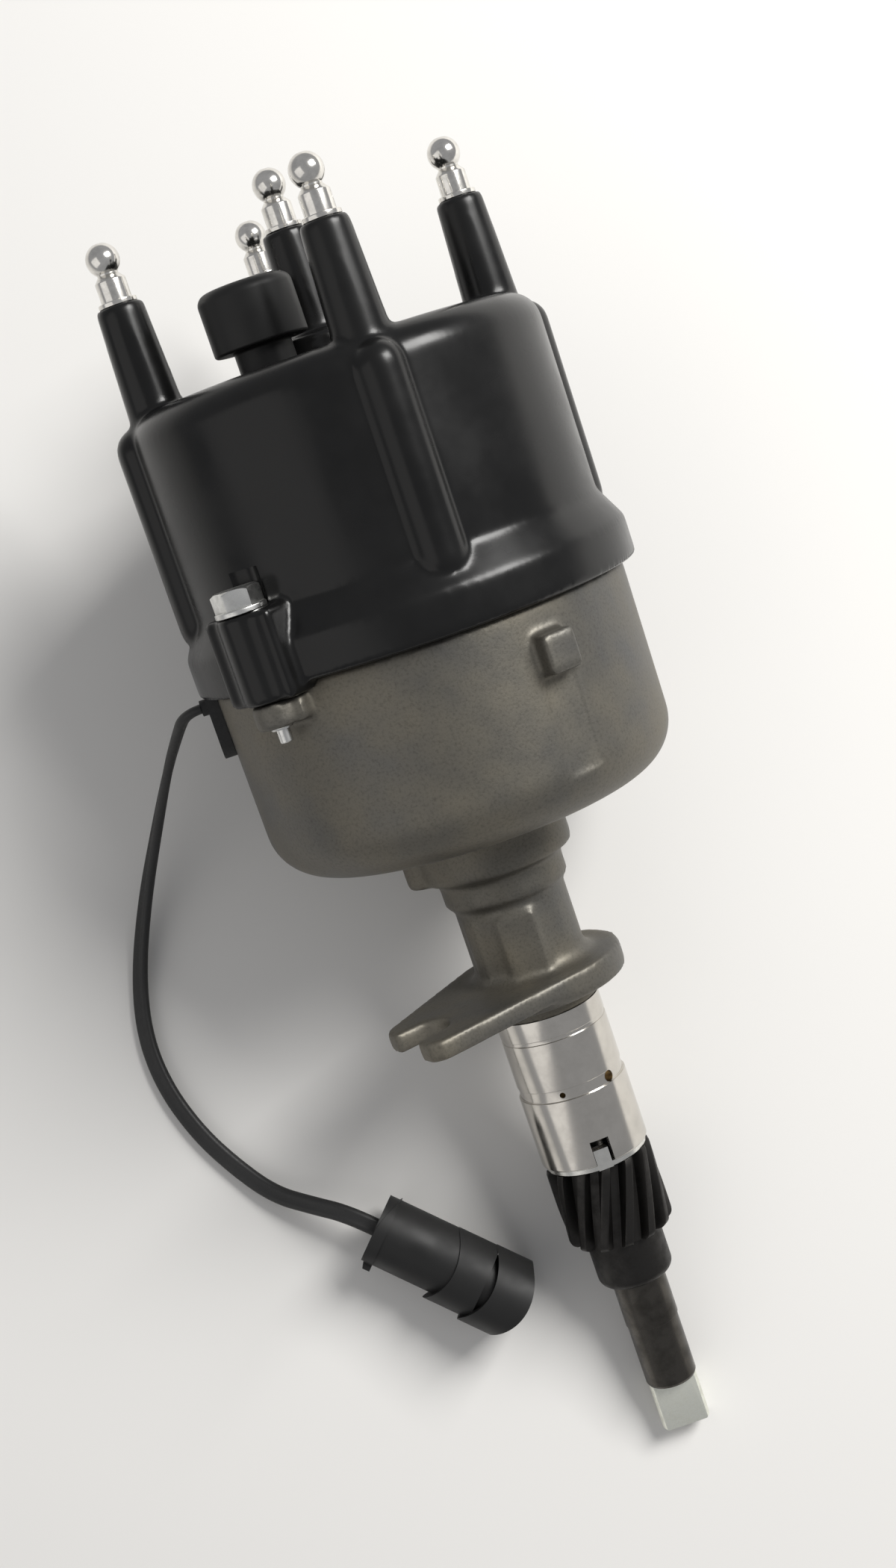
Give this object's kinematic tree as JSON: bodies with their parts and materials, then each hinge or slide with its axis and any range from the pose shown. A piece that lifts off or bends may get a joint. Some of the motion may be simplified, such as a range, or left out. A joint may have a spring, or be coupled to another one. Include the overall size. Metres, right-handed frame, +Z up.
{
  "type": "ignition distributor",
  "caption": "Ignition distributor lying on its side: cast housing on a gear-driven shaft, black cap with ball-stud terminals, and a trigger lead with its connector.",
  "frame": {"origin": "on the surface it lies on, under the middle of the distributor's own box without the lead, its outlet and its connector", "axes": "+Y along the surface from the drive tail towards the cap, +Z up, +X to the right seen from above with the cap at the top"},
  "size_m": [0.1297, 0.2626, 0.1049],
  "materials": {
    "cast_alloy": "as cast, sand-blasted, fine grain",
    "bearing_bronze": "sintered, oiled",
    "shaft_steel": "ground, satin",
    "bright_steel": "bright",
    "black_oxide": "black oxide, lightly oiled",
    "spring_steel": "spring temper",
    "zinc_plate": "zinc plated",
    "cap_moulding": "moulded, glossy",
    "hood_plastic": "moulded, satin",
    "nickel_plate": "nickel plated, bright",
    "electrode_brass": "machined",
    "carbon": "pressed carbon",
    "rotor_moulding": "moulded",
    "sensor_moulding": "moulded",
    "plate_steel": "zinc plated sheet",
    "seal_rubber": "moulded",
    "wire_jacket": "extruded, matte",
    "connector_plastic": "moulded, matte"
  },
  "bodies": {
    "housing_body": {"housing": "cast_alloy", "upper_bushing": "bearing_bronze", "lower_bushing": "bearing_bronze", "shaft_seal": "seal_rubber", "thrust_washer": "bright_steel", "sensor_plate": "plate_steel", "trigger_sensor": "sensor_moulding", "sensor_wires": "wire_jacket", "lead_grommet": "seal_rubber", "lead": "wire_jacket", "connector_shell": "connector_plastic", "connector_contacts": "electrode_brass", "plate_screw_1": "zinc_plate", "plate_screw_2": "zinc_plate", "plate_screw_3": "zinc_plate"},
    "shaft_body": {"shaft": "shaft_steel", "drive_gear": "black_oxide", "gear_pin": "spring_steel", "shaft_shim": "bright_steel", "retaining_clip": "spring_steel", "pulse_ring": "plate_steel", "pulse_ring_pin": "spring_steel", "rotor_body": "rotor_moulding", "rotor_blade": "electrode_brass", "rotor_contact_strip": "spring_steel"},
    "cap_body": {"distributor_cap": "cap_moulding", "vent_hood": "hood_plastic", "coil_terminal": "nickel_plate", "plug_terminal_1": "nickel_plate", "plug_terminal_2": "nickel_plate", "plug_terminal_3": "nickel_plate", "plug_terminal_4": "nickel_plate", "plug_electrode_1": "electrode_brass", "plug_electrode_2": "electrode_brass", "plug_electrode_3": "electrode_brass", "plug_electrode_4": "electrode_brass", "cap_screw_1": "zinc_plate", "cap_screw_2": "zinc_plate", "brush_spring": "spring_steel"},
    "brush_body": {"carbon_brush": "carbon"}
  },
  "joints": [
    {"name": "shaft_spin", "type": "hinge", "parent": "housing_body", "child": "shaft_body", "pos_m": [0, -0.03569, 0.02789], "axis": [0, 0.9663, 0.2573], "continuous": true},
    {"name": "cap_lift", "type": "slide", "parent": "housing_body", "child": "cap_body", "axis": [0, 0.9663, 0.2573], "range_m": [0, 0.06]},
    {"name": "brush_travel", "type": "slide", "parent": "cap_body", "child": "brush_body", "axis": [0, 0.9663, 0.2573], "range_m": [0, 0.0012], "stiffness_N_per_m": 200, "deforming": ["brush_spring"]}
  ]
}
